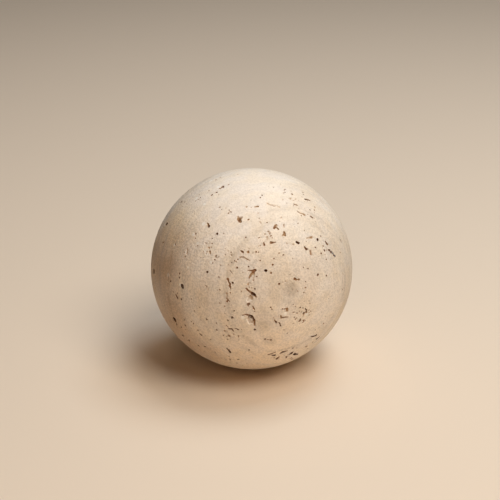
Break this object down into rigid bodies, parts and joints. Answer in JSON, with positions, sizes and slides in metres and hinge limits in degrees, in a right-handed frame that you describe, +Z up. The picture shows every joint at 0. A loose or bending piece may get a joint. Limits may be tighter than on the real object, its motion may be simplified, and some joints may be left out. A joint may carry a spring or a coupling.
{
  "type": "travertine sphere",
  "caption": "Solid ball of honed travertine with the stone's own open pores, to rest on a desk, a shelf or a stand.",
  "frame": {"origin": "centre of the ball", "axes": "+Z up through the ball, -Y to the front, where the bedding's pole shows, and +X to the right as seen from the front"},
  "size_m": [0.08, 0.08, 0.08],
  "materials": {
    "travertine": "honed and unfilled: matt cream stone with warm bands and open, brown-lined pores"
  },
  "bodies": {
    "root": {"stone_ball": "travertine"}
  },
  "joints": []
}
